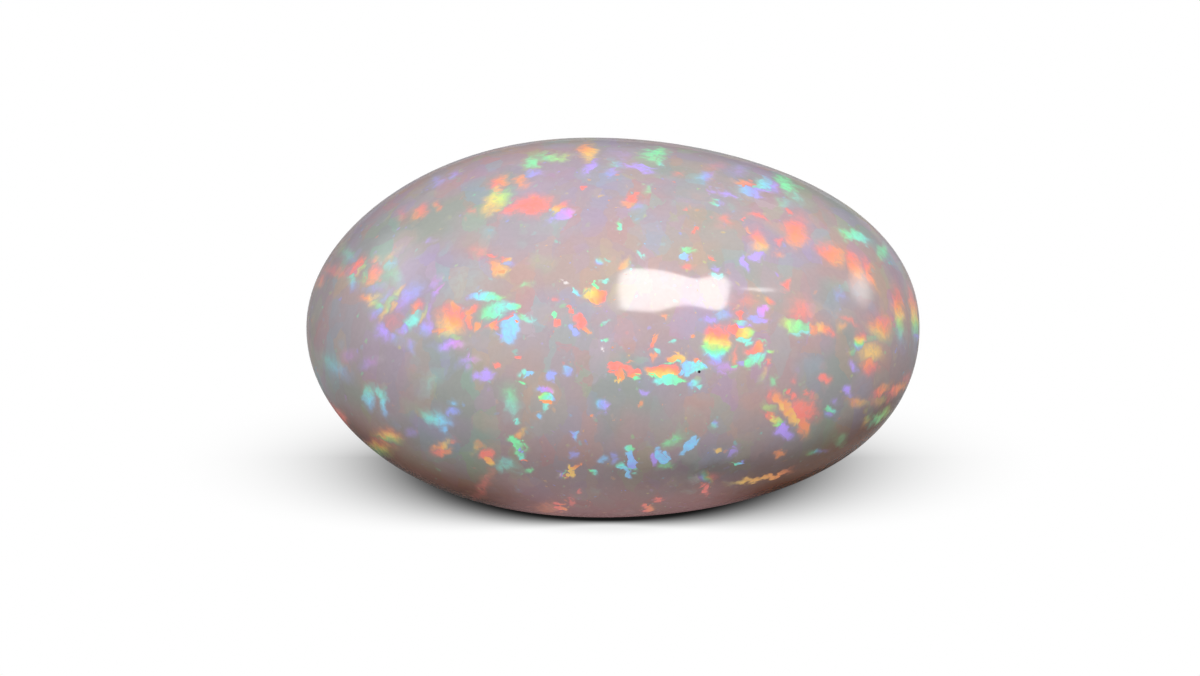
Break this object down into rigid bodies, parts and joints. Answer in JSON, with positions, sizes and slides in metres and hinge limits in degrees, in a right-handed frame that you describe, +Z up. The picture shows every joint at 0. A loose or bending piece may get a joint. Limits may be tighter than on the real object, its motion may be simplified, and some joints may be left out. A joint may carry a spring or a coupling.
{
  "type": "polished oval opal",
  "caption": "Polished oval opal, domed on both sides, milky grey-mauve with play of colour, lying on a small flat ground into its belly.",
  "frame": {"origin": "on the surface that the stone rests on, under the middle of its length and width", "axes": "+X along the stone's length, +Y away from the face that shows most fire, +Z up out of the resting flat"},
  "size_m": [0.0246, 0.019, 0.0141],
  "materials": {
    "opal": "polished"
  },
  "bodies": {
    "root": {"opal": "opal"}
  },
  "joints": []
}
